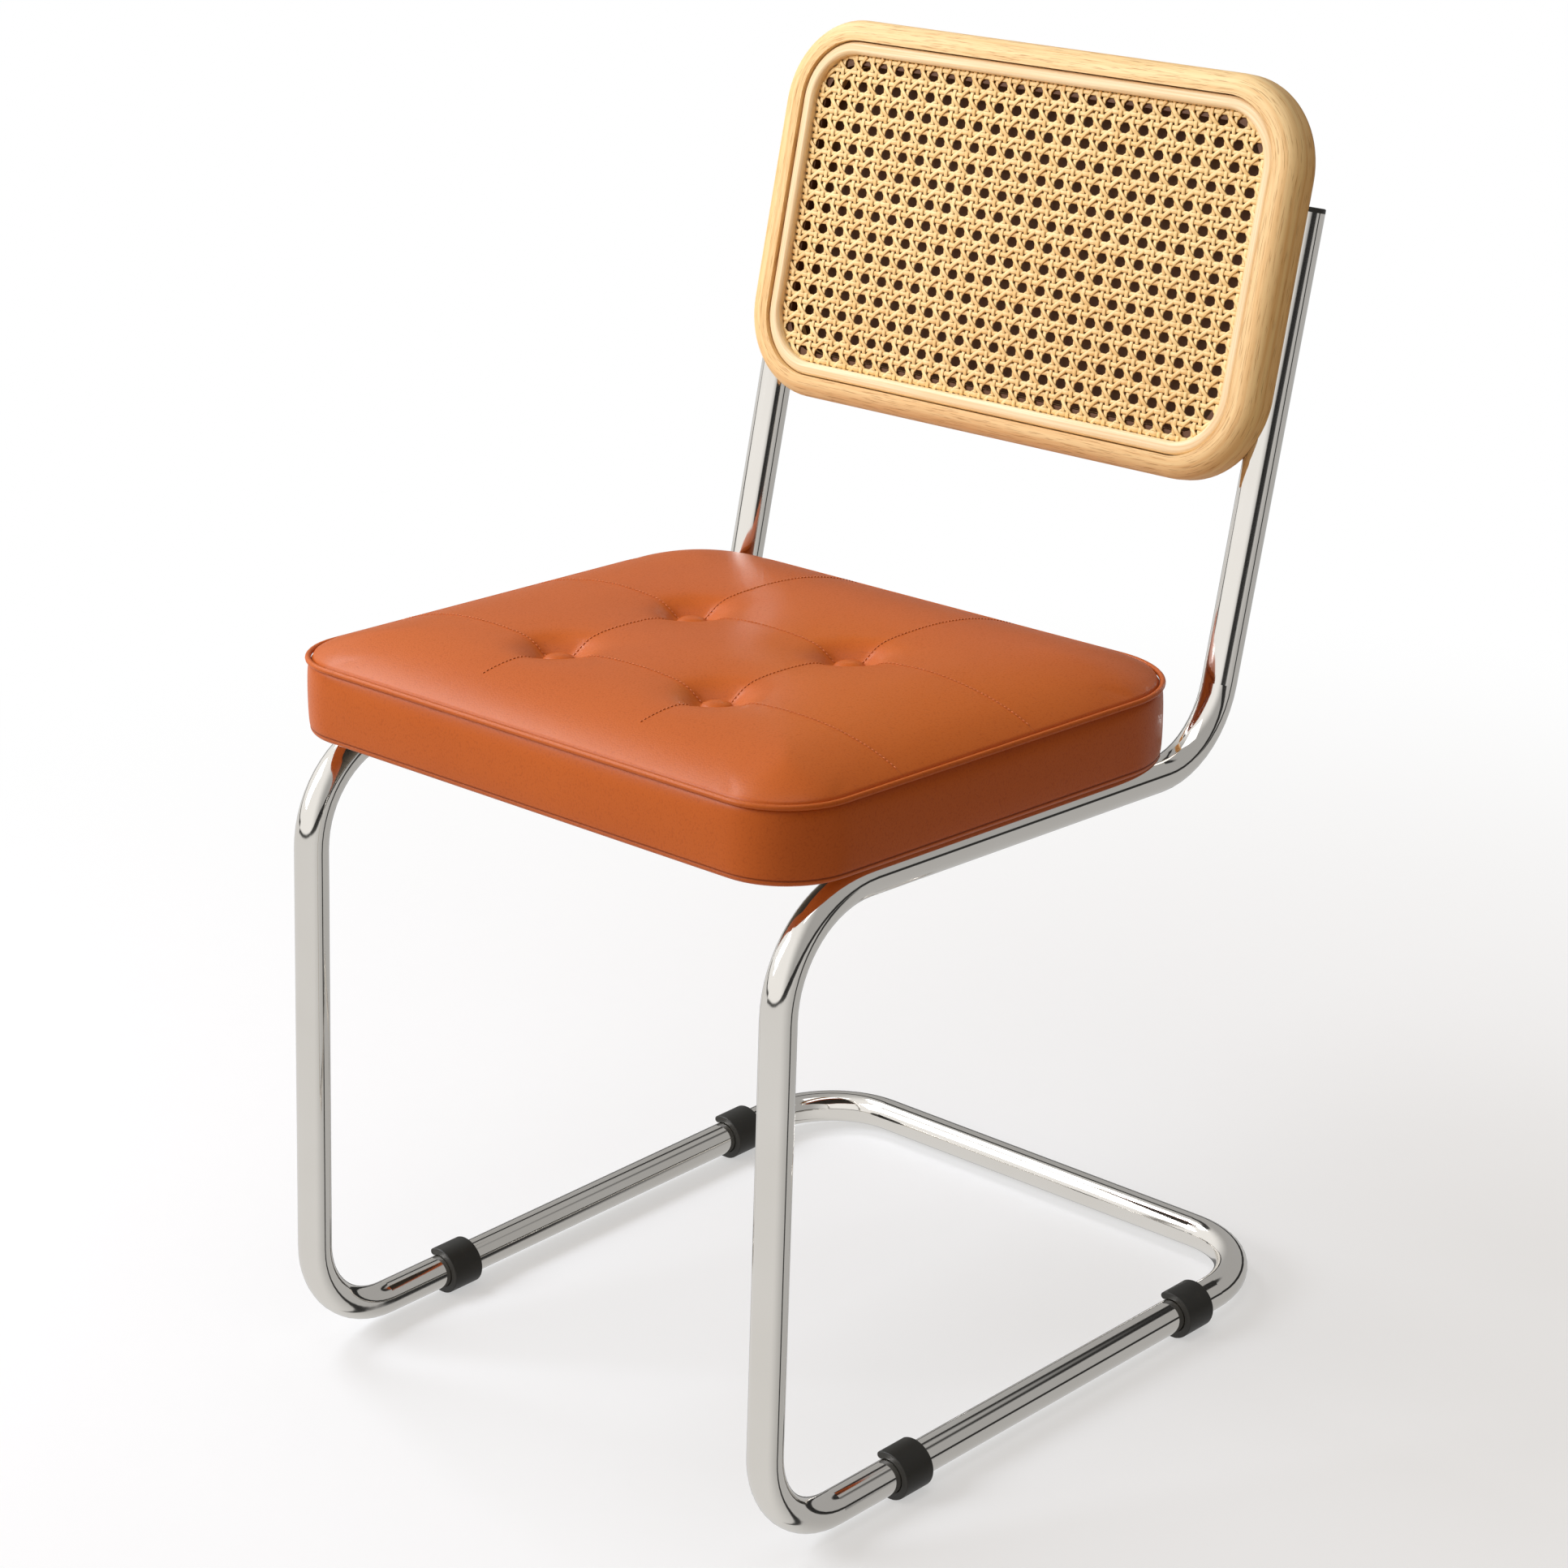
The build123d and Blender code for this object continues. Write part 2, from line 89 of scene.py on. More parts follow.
seat_up = np.array([0, np.sin(rail_fall), np.cos(rail_fall)])
seat_gap = 0.1 * mm
seat_plane = Plane(
    np.array([0, runner_middle, rail_height]) + seat_up * (tube_radius + seat_gap),
    (0, np.cos(rail_fall), -np.sin(rail_fall)),
    seat_up,
)
back_plane = Plane(
    (0, runner_middle + upright_place, rail_height),
    (0, np.sin(recline), np.cos(recline)),
    (0, -np.cos(recline), np.sin(recline)),
)
print("runner's middle at y", round(runner_middle, 5))

# %% [markdown]
# ## Meshes from whole arrays
# A surface is an array of points in rows and columns. One function turns such an array's shape
# into quads, and another puts points, quads and any per-point values into a mesh with
# foreach_set, which is quick because no loop visits single points.

# %% Helpers for surfaces
def grid_quads(rows, columns, close_rows=False, close_columns=False):
    """Quads of a rows x columns grid: each takes a point, its neighbour, and the two beyond."""
    index = np.arange(rows * columns).reshape(rows, columns)
    if close_rows:
        index = np.vstack([index, index[:1]])
    if close_columns:
        index = np.hstack([index, index[:, :1]])
    corners = index[:-1, :-1], index[:-1, 1:], index[1:, 1:], index[1:, :-1]
    return np.stack(corners, -1).reshape(-1, 4)


def cap_quads(sides):
    """Quads that close an even ring: each joins two neighbours on one side to the two across it."""
    first = np.arange(sides // 2 - 1)
    return np.stack([first, first + 1, sides - 2 - first, sides - 1 - first], -1)


def tube_quads(tubes, steps, sides):
    """Quads of many tubes with closed ends: one tube's grid and its two caps, repeated with an offset."""
    cap = cap_quads(sides)
    wall = grid_quads(steps, sides, close_columns=True)
    one = np.vstack([wall, cap[:, ::-1], cap + (steps - 1) * sides])
    return (one[None] + (np.arange(tubes) * steps * sides)[:, None, None]).reshape(-1, 4)


def make_piece(name, points, quads, finish, values=None):
    """A smooth mesh object from points and quads, with named per-point values, riding on the root."""
    points = np.asarray(points, float).reshape(-1, 3)
    mesh = bpy.data.meshes.new(name)
    mesh.vertices.add(len(points))
    mesh.vertices.foreach_set("co", points.astype(np.float32).ravel())
    mesh.loops.add(quads.size)
    mesh.loops.foreach_set("vertex_index", quads.astype(np.int32).ravel())
    mesh.polygons.add(len(quads))
    mesh.polygons.foreach_set("loop_start", np.arange(0, quads.size, 4, dtype=np.int32))
    mesh.polygons.foreach_set("use_smooth", np.ones(len(quads), bool))
    for label, value in (values or {}).items():
        layer = mesh.attributes.new(label, "FLOAT", "POINT")
        layer.data.foreach_set("value", np.asarray(value, np.float32).ravel())
    mesh.update(calc_edges=True)
    mesh.validate()
    piece = bpy.data.objects.new(name, mesh)
    bpy.context.scene.collection.objects.link(piece)
    mesh.materials.append(finish)
    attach(piece, "root")
    print(name, len(points), "points", len(quads), "quads")
    return piece


# %% [markdown]
# ## Writing shaders as sums
# A material is a small calculation on every point of a surface. Wiring it by hand hides the
# formula, so one class wraps a node's output and turns Python's operators into Math nodes.
# A second class holds the tree and makes every other node.

# %% Shader helpers
class Signal:
    """One output of a shader node. Arithmetic on it adds Math nodes."""

    def __init__(self, graph, socket):
        self.graph = graph
        self.socket = socket

    def math(self, operation, *values):
        return self.graph.node("ShaderNodeMath", {"operation": operation}, dict(enumerate(values)))

    def __add__(self, other):
        return self.math("ADD", self, other)

    def __radd__(self, other):
        return self.math("ADD", other, self)

    def __sub__(self, other):
        return self.math("SUBTRACT", self, other)

    def __rsub__(self, other):
        return self.math("SUBTRACT", other, self)

    def __mul__(self, other):
        return self.math("MULTIPLY", self, other)

    def __abs__(self):
        return self.math("ABSOLUTE", self)

    def least(self, other):
        return self.math("MINIMUM", self, other)

    def most(self, other):
        return self.math("MAXIMUM", self, other)

    def step(self, low, high):
        """0 below low, 1 above high, and a smooth ramp between them."""
        ramp = {"interpolation_type": "SMOOTHSTEP"}
        limits = {"Value": self, "From Min": low, "From Max": high}
        return self.graph.node("ShaderNodeMapRange", ramp, limits)

    def band(self, low, full, fading, high):
        """1 from full to fading, 0 below low and above high, with smooth ramps."""
        return self.step(low, full) * (1 - self.step(fading, high))


class Graph:
    """A node tree and the one method that makes any node in it."""

    def __init__(self, tree):
        self.tree = tree

    def node(self, kind, settings=None, inputs=None, out=0):
        """Adds a node: its settings first, then values or links for its sockets. Returns one output."""
        made = self.tree.nodes.new(kind)
        for key, value in (settings or {}).items():
            setattr(made, key, value)
        for key, value in (inputs or {}).items():
            socket = made.inputs[key]
            if isinstance(value, Signal):
                self.tree.links.new(value.socket, socket)
            else:
                socket.default_value = value
        return Signal(self, made.outputs[out])

    def object_place(self, plane=None):
        """Object coordinates, laid flat on a plane where one is given."""
        place = self.node("ShaderNodeTexCoord", out="Object")
        if plane is None:
            return place
        flat = {"Vector": place, "Location": tuple(plane.origin), "Rotation": (plane.turn(), 0, 0)}
        return self.node("ShaderNodeMapping", {"vector_type": "TEXTURE"}, flat)

    def parts(self, vector):
        """The three numbers of a vector."""
        split = self.node("ShaderNodeSeparateXYZ", None, {0: vector})
        return [Signal(self, socket) for socket in split.socket.node.outputs]

    def join(self, x, y, z):
        return self.node("ShaderNodeCombineXYZ", None, {0: x, 1: y, 2: z})

    def noise(self, vector, scale, detail=2.0, roughness=0.5):
        sockets = {"Vector": vector, "Scale": scale, "Detail": detail, "Roughness": roughness}
        return self.node("ShaderNodeTexNoise", None, sockets)

    def mix(self, factor, first, second):
        return self.node("ShaderNodeMix", {"data_type": "RGBA"}, {0: factor, 6: first, 7: second}, 2)

    def bump(self, height, distance):
        return self.node("ShaderNodeBump", None, {"Height": height, "Distance": distance, "Strength": 1.0})


def colour(red, green, blue):
    """A screen colour of 0 to 255 as the linear numbers that a shader takes."""
    share = np.array([red, green, blue]) / 255
    linear = np.where(share <= 0.04045, share / 12.92, ((share + 0.055) / 1.055) ** 2.4)
    return (*(float(v) for v in linear), 1.0)


def new_finish(name, **constants):
    """A new material: its graph and its Principled shader, with the values that stay the same all over."""
    material = bpy.data.materials.new(name)
    material.use_nodes = True
    shader = material.node_tree.nodes["Principled BSDF"]
    for key, value in constants.items():
        shader.inputs[key.replace("_", " ")].default_value = value
    return material, Graph(material.node_tree), shader


def feed(graph, shader, **signals):
    """Links what varies over the surface to the shader's own sockets."""
    for key, signal in signals.items():
        graph.tree.links.new(signal.socket, shader.inputs[key.replace("_", " ")])


def dress(finish, *names):
    """Gives a finish to CAD nodes."""
    for name in names:
        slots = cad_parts[name].data.materials
        slots.clear()
        slots.append(finish)


# %% [markdown]
# ## Chrome
# The frame is one tube, bent cold, polished and chromed. Chrome has no colour of its own beyond
# a soft grey, and what makes it read as metal is what it mirrors. A little unevenness in the
# roughness keeps it from looking like a perfect mirror. Screws, nuts and washers are dull zinc.

# %% Chrome and steel
def chrome_finish():
    """Bright mirror metal with faint polishing marks and soft clouds in its gloss."""
    material, graph, shader = new_finish("polished_chrome", Metallic=1.0)
    place = graph.object_place()
    cloud = graph.noise(place, 14.0, 3.0)
    marks = graph.noise(place, 900.0, 2.0, 0.6)
    feed(graph, shader,
         Base_Color=graph.mix(cloud, colour(228, 223, 215), colour(238, 234, 228)),
         Roughness=0.035 + cloud * 0.05 + marks * 0.03)
    return material


def speckled_finish(name, noise, tones, gloss, depth=None, **constants):
    """One fine noise moves the tone between two colours, the roughness and, given a depth, the height."""
    material, graph, shader = new_finish(name, **constants)
    speck = graph.noise(graph.object_place(), *noise)
    feed(graph, shader,
         Base_Color=graph.mix(speck, colour(*tones[0]), colour(*tones[1])),
         Roughness=gloss[0] + speck * gloss[1])
    if depth:
        feed(graph, shader, Normal=graph.bump(speck, depth))
    return material


zinc_tones = (150, 152, 155), (196, 198, 200)
steel = speckled_finish("zinc_steel", (700.0, 3.0), zinc_tones, (0.28, 0.2), Metallic=1.0)
hardware = "_screw_", "_insert_", "_tee_nut_", "_washer_"
dress(chrome_finish(), "tube_frame")
dress(steel, *[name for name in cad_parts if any(word in name for word in hardware)])
print("tube, screws, nuts and washers dressed")

# %% [markdown]
# ## Black plastic
# The plugs in the tube's ends and the clips under the runners are moulded nylon: nearly black,
# softly shiny, with the fine pebble that a mould leaves.

# %% Black plastic
def plastic_finish():
    """Moulded nylon: warm black, half matt, with a fine pebble and a few paler rubs."""
    material, graph, shader = new_finish("black_nylon")
    place = graph.object_place()
    pebble = graph.noise(place, 2600.0, 2.0)
    rub = graph.noise(place, 60.0, 4.0, 0.6).step(0.55, 0.8)
    feed(graph, shader,
         Base_Color=graph.mix(rub, colour(34, 33, 28), colour(52, 50, 44)),
         Roughness=0.42 + pebble * 0.14,
         Normal=graph.bump(pebble, 0.02 * mm))
    return material


nylon = plastic_finish()
dress(nylon, *[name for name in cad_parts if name.startswith("glide_") or name.endswith("_plug")])
print("plugs and clips dressed")

# %% [markdown]
# ## Pale beech
# The back's frame is bent from beech, so the grain runs with the frame and turns with its
# corners. A flat wood pattern would cut straight through the bends. Instead the shader works out,
# for every point, how far it lies along the frame and how far across it, and draws long streaks
# and short dark flecks in those two directions. The holes are dark up to the edge, so the lip behind
# the first row is painted the panel's dark brown as painted shade under the cane. The reed, the panel, the
# plywood and the black cloth are simpler: one noise, drawn out along the fibres.

# %% Beech, reed, panel, plywood and cloth
back_middle = 280 * mm
back_half = np.array([213, 124]) * mm
back_corner = 58 * mm
# where the lip under the cane is painted dark brown as painted shade
lip_shade_inset = np.array([26, 22]) * mm
lip_shade_edge = 0.5 * mm
lip_shade_depths = np.array([12, 13, 22.8, 23.3]) * mm


def along_frame(graph):
    """Distance along the back's frame, across it and through it, as three signals.

    Beside a straight run the distance along is the run's own coordinate. At a corner it is the
    angle about the corner's centre times the corner's radius, so the two join without a step.
    """
    x, y, z = graph.parts(graph.object_place(back_plane))
    straight = back_half - back_corner
    up = y - back_middle
    past_x = abs(x) - float(straight[0])
    past_y = abs(up) - float(straight[1])
    beyond_x = past_x.most(0.0)
    beyond_y = past_y.most(0.0)
    angle = beyond_x.math("ARCTAN2", beyond_x, beyond_y)
    run = abs(x).least(float(straight[0])) + angle * back_corner
    run = run + float(straight[1]) - abs(up).least(float(straight[1]))
    along = run * x.math("SIGN", x)
    square = beyond_x * beyond_x + beyond_y * beyond_y
    across = square.math("SQRT", square) + past_x.most(past_y).least(0.0)
    return along, across, z


def behind_cane(graph):
    """Where the painted shade goes: 1 on the lip that carries the cane's edge and on the opening's wall
    below it, 0 elsewhere.
    """
    x, y, z = graph.parts(graph.object_place(back_plane))
    edge_x, edge_y = back_half - lip_shade_inset
    inside_x = 1 - abs(x).step(edge_x - lip_shade_edge, edge_x)
    inside_y = 1 - abs(y - back_middle).step(edge_y - lip_shade_edge, edge_y)
    return inside_x * inside_y * z.band(*lip_shade_depths)


def beech_finish():
    """Pale beech: broad tone, long streaks, and the short flecks that beech shows. The lip under the cane
    gets painted shade.
    """
    material, graph, shader = new_finish("pale_beech", Specular_IOR_Level=0.25)
    along, across, depth = along_frame(graph)
    streak = graph.noise(graph.join(along * 6.0, across * 300.0, depth * 300.0), 1.0, 5.0, 0.65)
    fleck = graph.noise(graph.join(along * 60.0, across * 1500.0, depth * 1500.0), 1.0, 2.0, 0.55)
    pores = fleck.step(0.54, 0.7)
    broad = graph.noise(graph.join(along * 3.0, across * 30.0, depth * 30.0), 1.0, 2.0)
    tone = graph.mix(streak.step(0.3, 0.72), colour(250, 220, 162), colour(230, 180, 110))
    tone = graph.mix(broad * 0.35, tone, colour(255, 238, 200))
    tone = graph.mix(pores * 0.6, tone, colour(168, 114, 58))
    # the lip under the cane is mixed to dark brown: painted shade, not the wood's own colour
    feed(graph, shader,
         Base_Color=graph.mix(behind_cane(graph), tone, colour(100, 64, 36)),
         Roughness=0.42 + streak * 0.16,
         Normal=graph.bump(streak - pores * 0.8, 0.06 * mm))
    return material


def reed_finish():
    """The split reed in the groove: smoother and paler than the frame, with fine fibres."""
    material, graph, shader = new_finish("split_reed", Specular_IOR_Level=0.3)
    along, across, depth = along_frame(graph)
    fibre = graph.noise(graph.join(along * 10.0, across * 900.0, depth * 900.0), 1.0, 3.0, 0.55)
    feed(graph, shader,
         Base_Color=graph.mix(fibre.step(0.3, 0.7), colour(252, 234, 198), colour(240, 210, 160)),
         Roughness=0.36 + fibre * 0.15,
         Normal=graph.bump(fibre, 0.05 * mm))
    return material


def veneer_finish(name, plane, stretch, first, second):
    """Veneer with its grain along the plane: one noise, stretched by a number for each direction."""
    material, graph, shader = new_finish(name)
    parts = graph.parts(graph.object_place(plane))
    grain = graph.noise(graph.join(*(part * by for part, by in zip(parts, stretch))), 1.0, 4.0, 0.6)
    feed(graph, shader, Base_Color=graph.mix(grain, first, second), Roughness=0.6 + grain * 0.2)
    return material


stained = veneer_finish(
    "stained_panel", back_plane, (420.0, 16.0, 420.0), colour(84, 54, 30), colour(124, 84, 50))
birch = veneer_finish(
    "birch_plywood", seat_plane, (300.0, 12.0, 900.0), colour(214, 178, 126), colour(176, 134, 84))
cloth_tones = (18, 18, 18), (48, 47, 46)
dust_cloth = speckled_finish(
    "dust_cloth", (1500.0, 3.0, 0.7), cloth_tones, (0.85, 0.1), 0.08 * mm, Sheen_Weight=0.3)
dress(beech_finish(), "back_frame")
dress(reed_finish(), "cane_spline")
dress(stained, "back_panel")
dress(birch, "seat_board")
dress(dust_cloth, "seat_dust_cover", *[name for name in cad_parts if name.startswith("tufting_cord_")])
print("wood, reed, panel and cloth dressed")

# %% [markdown]
# ## Woven cane
# Open cane has pairs of upright and level strands, and single strands in both slants, which cut
# the square gaps to octagons. It could be a picture on a plane, but then its gaps would be flat.
# Here every strand is a ribbon with a rounded top that goes over and under the others. Each
# family of strands is one array: strands by steps along a strand by points round its section.

# %% Strand geometry
cane_pitch = np.array([14.8, 13.5]) * mm
pair_offset = 2.1 * mm
pair_width = 3.2 * mm
slant_width = 3.0 * mm
strand_thickness = 0.62 * mm
pair_wave = 0.36 * mm
slant_wave = 0.8 * mm
cane_level = 23.6 * mm
cane_half = back_half - np.array([26.5, 22.8]) * mm
cane_corner = 33 * mm
cane_random = np.random.default_rng(7)


def inside_cane(x, y):
    """Whether points lie inside the spline: a rectangle with round corners, by its distance."""
    past = np.abs(np.stack([x, y], -1)) - (cane_half - cane_corner)
    return np.linalg.norm(np.maximum(past, 0), axis=-1) + np.minimum(past.max(-1), 0) < cane_corner


def trim(start, direction, reach, samples=3000):
    """First and last distance along each line that lies inside the spline, or none if it misses."""
    t = np.linspace(-reach, reach, samples)
    x = start[:, None, 0] + direction[0] * t
    y = start[:, None, 1] + direction[1] * t
    inside = inside_cane(x, y)
    first = t[np.argmax(inside, 1)]
    last = t[samples - 1 - np.argmax(inside[:, ::-1], 1)]
    return first, last, inside.any(1) & (last - first > cane_pitch.min() / 2)


def strand_points(start, direction, first, last, steps, width, height):
    """Ribbons along lines: a six-point section, flat below and rounded above, moved up by the wave.

    height(strand, x, y) gives the middle line's height, so that strands pass over and under.
    """
    t = np.linspace(0, 1, steps)
    distance = first[:, None] + (last - first)[:, None] * t
    x = start[:, None, 0] + direction[0] * distance
    y = start[:, None, 1] + direction[1] * distance
    z = height(np.arange(len(start))[:, None], x, y)
    share = np.array([0.5, 0.34, 0.0, -0.34, -0.5, 0.0])
    rise = np.array([-0.15, 0.36, 0.5, 0.36, -0.15, -0.5]) * strand_thickness
    wobble = cane_random.uniform(0.9, 1.08, (len(start), 1, 1)) * width * share
    side = np.array([-direction[1], direction[0]])
    points = np.stack([
        x[..., None] + side[0] * wobble,
        y[..., None] + side[1] * wobble + back_middle,
        np.broadcast_to(z[..., None] + rise + cane_level, wobble.shape[:1] + z.shape[1:] + rise.shape),
    ], -1)
    along = np.broadcast_to(distance[..., None], points.shape[:-1])
    across = np.broadcast_to(share, points.shape[:-1])
    tone = np.broadcast_to(cane_random.random((len(start), 1, 1)), points.shape[:-1])
    return points, {"along": along, "across": across, "tone": tone}


def pair_height(parity, distance, pitch):
    """Wave of a paired strand: over the first strand of each pair it meets, under the second.

    Its angle goes half a turn in the short way between the two, and half a turn to the next pair.
    """
    within = np.mod(distance + pitch / 2 + pair_offset, pitch)
    short = 2 * pair_offset
    angle = np.where(within < short, within / short, 1 + (within - short) / (pitch - short))
    return pair_wave * np.cos(np.pi * (angle + parity))


def lines_of_pairs(half, pitch):
    """Places of the paired strands across a half width, with the pair's two strands told apart."""
    count = int(half / pitch) + 2
    middles = (np.arange(-count, count + 1) + 0.5) * pitch
    places = (middles[:, None] + np.array([-pair_offset, pair_offset])).ravel()
    parity = np.tile([0, 1], len(middles))
    keep = np.abs(places) < half - pair_width / 2
    return places[keep], parity[keep]


# %% Strands of the four families
def paired_strands(axis, reach, steps):
    """Pairs along one axis, 0 for level and 1 for upright: one kind goes over where the other goes under."""
    other = 1 - axis
    places, parity = lines_of_pairs(cane_half[other], cane_pitch[other])
    direction = np.eye(2)[axis]
    start = places[:, None] * direction[::-1]
    first, last, _ = trim(start, direction, reach)

    def height(strand, x, y):
        return (2 * axis - 1) * pair_height(parity[strand], (x, y)[axis], cane_pitch[axis])

    points, values = strand_points(start, direction, first, last, steps, pair_width, height)
    return points, tube_quads(*points.shape[:3]), values


def slant_strands(lean, reach=0.6, steps=150):
    """Single strands across the gaps: over the uprights and under the levels, or reversed."""
    count = int(cane_half.sum() / cane_pitch[1]) + 2
    offset = (np.arange(-count, count) + 0.5) * cane_pitch[0]
    direction = cane_pitch * (1, lean) / np.linalg.norm(cane_pitch)
    start = np.stack([offset, np.zeros_like(offset)], 1)
    first, last, hits = trim(start, direction, reach)

    def height(strand, x, y):
        return -lean * slant_wave * np.cos(2 * np.pi * y / cane_pitch[1])

    points, values = strand_points(
        start[hits], direction, first[hits], last[hits], steps, slant_width, height)
    return points, tube_quads(*points.shape[:3]), values


# %% [markdown]
# ### Cane's finish
# The outer skin of rattan is hard and glossy, straw yellow, with fine fibres along each strand.
# Every strand is a little different, so a number carried by each strand shifts its tone, and the
# edges are darker where the skin was cut.

# %% Make the cane
def cane_finish():
    """Straw-yellow rattan skin: fibres along the strand, slow blotches, darker cut edges."""
    material, graph, shader = new_finish("rattan_skin")
    along, across, tone = [graph.node("ShaderNodeAttribute", {"attribute_name": name}, out="Fac")
                           for name in ("along", "across", "tone")]
    fibre = graph.noise(graph.join(along * 90.0, across * 9.0, tone * 50.0), 1.0, 3.0, 0.6)
    blotch = graph.noise(graph.join(along * 16.0, tone * 40.0, 0.0), 1.0, 2.0)
    base = graph.mix(tone, colour(255, 228, 166), colour(243, 206, 138))
    base = graph.mix(fibre.step(0.42, 0.8) * 0.5, base, colour(206, 152, 80))
    base = graph.mix(blotch.step(0.5, 0.75) * 0.45, base, colour(255, 232, 176))
    edge = abs(across).step(0.36, 0.5)
    feed(graph, shader,
         Base_Color=graph.mix(edge * 0.6, base, colour(150, 98, 44)),
         Roughness=0.34 + fibre * 0.2,
         Normal=graph.bump(fibre, 0.05 * mm))
    return material


rattan = cane_finish()
families = {
    "cane_uprights": paired_strands(1, reach=0.2, steps=190),
    "cane_levels": paired_strands(0, reach=0.3, steps=330),
    "cane_slants_right": slant_strands(1),
    "cane_slants_left": slant_strands(-1),
}
for name, (points, quads, values) in families.items():
    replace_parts(make_piece(name, back_plane.place(points), quads, rattan, values), "cane_panel")

# %% [markdown]
# ## The leather seat
# On the real chair a cover of three leather pieces is pulled over foam: a crowned top, a band
# round the sides and piping where they meet. Four buttons draw the top down, and stitched lines
# run through them. The cushion starts as a surface worked out from the crown and the dimples,
# a little slack. Then a cloth simulation blows it up against its seams, as the foam does.

# %% Outline of the seat
seat_half = 221.5 * mm
seat_front = -220.2 * mm
seat_rear = 152 * mm
corner_radii = np.array([48, 48, 72, 72]) * mm
corner_signs = np.array([(-1, -1), (1, -1), (1, 1), (-1, 1)])
corner_points = np.array([(-seat_half, seat_front), (seat_half, seat_front),
                          (seat_half, seat_rear), (-seat_half, seat_rear)])
corner_centres = corner_points - corner_signs * corner_radii[:, None]
button_x = 68 * mm
button_y = np.array([-122.1, -8.1]) * mm
buttons = np.array([(x, y) for y in button_y for x in (-button_x, button_x)])


def seat_outline(distance, samples=240):
    """Points and outward directions at distances round the seat, counter-clockwise seen from above.

    A corner's point is its centre plus its radius times the outward direction, whose angle turns
    a quarter. Between two corners the angle stays, which gives the straight runs.
    """
    quarter = np.linspace(0, np.pi / 2, samples)
    angle = (np.arange(4)[:, None] * np.pi / 2 + np.pi + quarter).ravel()
    outward = np.stack([np.cos(angle), np.sin(angle)], 1)
    line = np.repeat(corner_centres, samples, 0) + np.repeat(corner_radii, samples)[:, None] * outward
    line = np.vstack([line, line[:1]])
    angle = np.append(angle, 3 * np.pi)
    length = np.append(0, np.cumsum(np.linalg.norm(np.diff(line, axis=0), axis=1)))
    distance = np.mod(distance, length[-1])
    turn = np.interp(distance, length, angle)
    place = np.stack([np.interp(distance, length, line[:, k]) for k in (0, 1)], 1)
    return place, np.stack([np.cos(turn), np.sin(turn)], 1)


print("seat", round(2 * seat_half / mm), "x", round((seat_rear - seat_front) / mm), "mm")

# %% [markdown]
# ### Where the rings of points stand
# The top is a grid over its middle, with rings round it that turn the grid's square corners into
# the seat's round ones. Stations round the outline are spaced so that the stitched lines fall
# exactly on lines of points, from edge to edge.

# %% Stations and grid lines
cells_x = (26, 36, 26)
cells_y = (14, 28, 26)
field_x = np.array([-166.2 * mm, -button_x, button_x, 166.2 * mm])
field_y = np.array([-179 * mm, *button_y, 98 * mm])


def spread(stops, cells, close=True):
    """Evenly spaced values between each stop and the next."""
    runs = [np.linspace(a, b, n, endpoint=False) for a, b, n in zip(stops[:-1], stops[1:], cells)]
    return np.append(np.concatenate(runs), stops[-1:] if close else [])


def station_distances():
    """Distances round the outline: from the middle of a corner to the lines' ends to the next corner."""
    quarter = corner_radii * np.pi / 2
    runs = np.array([2 * corner_centres[1, 0], corner_centres[2, 1] - corner_centres[1, 1],
                     2 * corner_centres[2, 0], corner_centres[2, 1] - corner_centres[1, 1]])
    start = np.append(0, np.cumsum(quarter + runs))[:4] + quarter
    front = start[0] + corner_centres[1, 0] + np.array([-button_x, button_x])
    right = start[1] + button_y - corner_centres[1, 1]
    rear = start[2] + corner_centres[2, 0] + np.array([-button_x, button_x])
    left = start[3] + corner_centres[3, 1] - button_y[::-1]
    turns = start - quarter / 2
    stops = np.concatenate([turns[:1], front, turns[1:2], right, turns[2:3], rear, turns[3:], left])
    stops = np.append(stops, stops[0] + (quarter + runs).sum())
    return spread(stops, cells_x + cells_y + cells_x[::-1] + cells_y[::-1], close=False)


stations, outward = seat_outline(station_distances())
grid_x, grid_y = np.meshgrid(spread(field_x, cells_x), spread(field_y, cells_y))
grid_index = np.arange(grid_x.size).reshape(grid_x.shape)
field_sides = grid_index[0, :-1], grid_index[:-1, -1], grid_index[-1, :0:-1], grid_index[:0:-1, 0]
field_loop = np.concatenate(field_sides)
print("stations round the seat", len(stations), "and round the field", len(field_loop))

# %% [markdown]
# ### Height of the top
# The crown rises from the seam and levels out. Each button pulls a dimple that is steep beside it
# and fades out, and the stitched lines lie in soft valleys which are deepest near the buttons.
# Between them the leather stands up in four lobes, as it does on the chair.

# %% Crown, dimples and valleys
band_height = 47.5 * mm
crown_rise = 17.5 * mm
crown_reach = 88 * mm
crown_power = 2.2
edge_lift = 1.5 * mm
edge_lift_reach = 4 * mm
button_radius = 10 * mm
button_floor = 55 * mm
dimple_reach = 42 * mm
dimple_power = 2.7
front_line_end = 64 * mm
valley_width = 6 * mm
valley_depth = 0.12 * mm
valley_pull = 2.8 * mm
valley_pull_reach = 21 * mm
valley_edge = np.array([4, 40]) * mm
valley_button = np.array([8, 15]) * mm


def smooth(value, low, high):
    """0 below low, 1 above high, smooth between."""
    share = np.clip((value - low) / (high - low), 0, 1)
    return share * share * (3 - 2 * share)


def edge_distance(x, y):
    """Distance in from the outline, by the rounded rectangle of the front or the rear half."""
    radius = np.where(y < (seat_front + seat_rear) / 2, corner_radii[0], corner_radii[2])
    past_x = np.abs(x) - (seat_half - radius)
    past_y = np.maximum(seat_front + radius - y, y - seat_rear + radius)
    outside = np.hypot(np.maximum(past_x, 0), np.maximum(past_y, 0))
    return radius - outside - np.minimum(np.maximum(past_x, past_y), 0)


def button_gap(x, y):
    """Distance from each point to the nearest button's middle."""
    return np.hypot(x[..., None] - buttons[:, 0], y[..., None] - buttons[:, 1]).min(-1)


